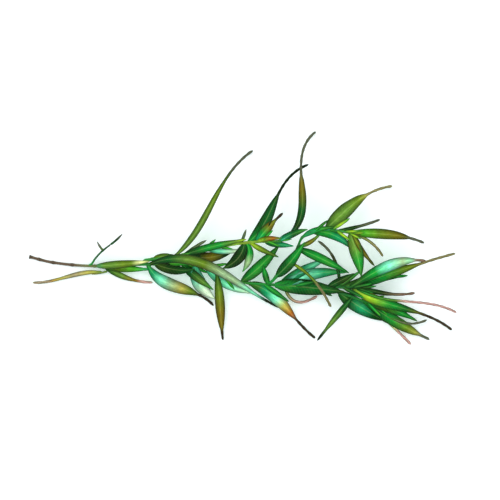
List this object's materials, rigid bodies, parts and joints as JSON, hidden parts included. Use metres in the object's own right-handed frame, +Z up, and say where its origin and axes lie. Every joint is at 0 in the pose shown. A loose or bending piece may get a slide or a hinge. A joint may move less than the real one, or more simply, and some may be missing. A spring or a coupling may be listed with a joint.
{
  "type": "cut tarragon shoot",
  "caption": "Leafy shoot of French tarragon, cut and lying flat: a thin stem with side shoots, tufts of young leaves and long, narrow, pointed leaves that curl and dry at their tips",
  "frame": {"origin": "on the surface that the shoot lies on, under the middle of its outline", "axes": "+X from the cut end of the main stem to its leafy tip, +Y across the shoot towards the upper side shoot, +Z up"},
  "size_m": [0.2009, 0.1011, 0.019],
  "materials": {
    "green_leaf": "soft satin, faintly waxy",
    "stem": "satin, green turning to brown bark",
    "dry_leaf": "matt, dry and papery"
  },
  "bodies": {
    "root": {"main_shoot": "green_leaf", "upper_side_shoot": "green_leaf", "middle_side_shoot": "green_leaf", "lower_side_shoot": "green_leaf", "bare_twig": "stem", "withered_leaf": "dry_leaf"}
  },
  "joints": []
}
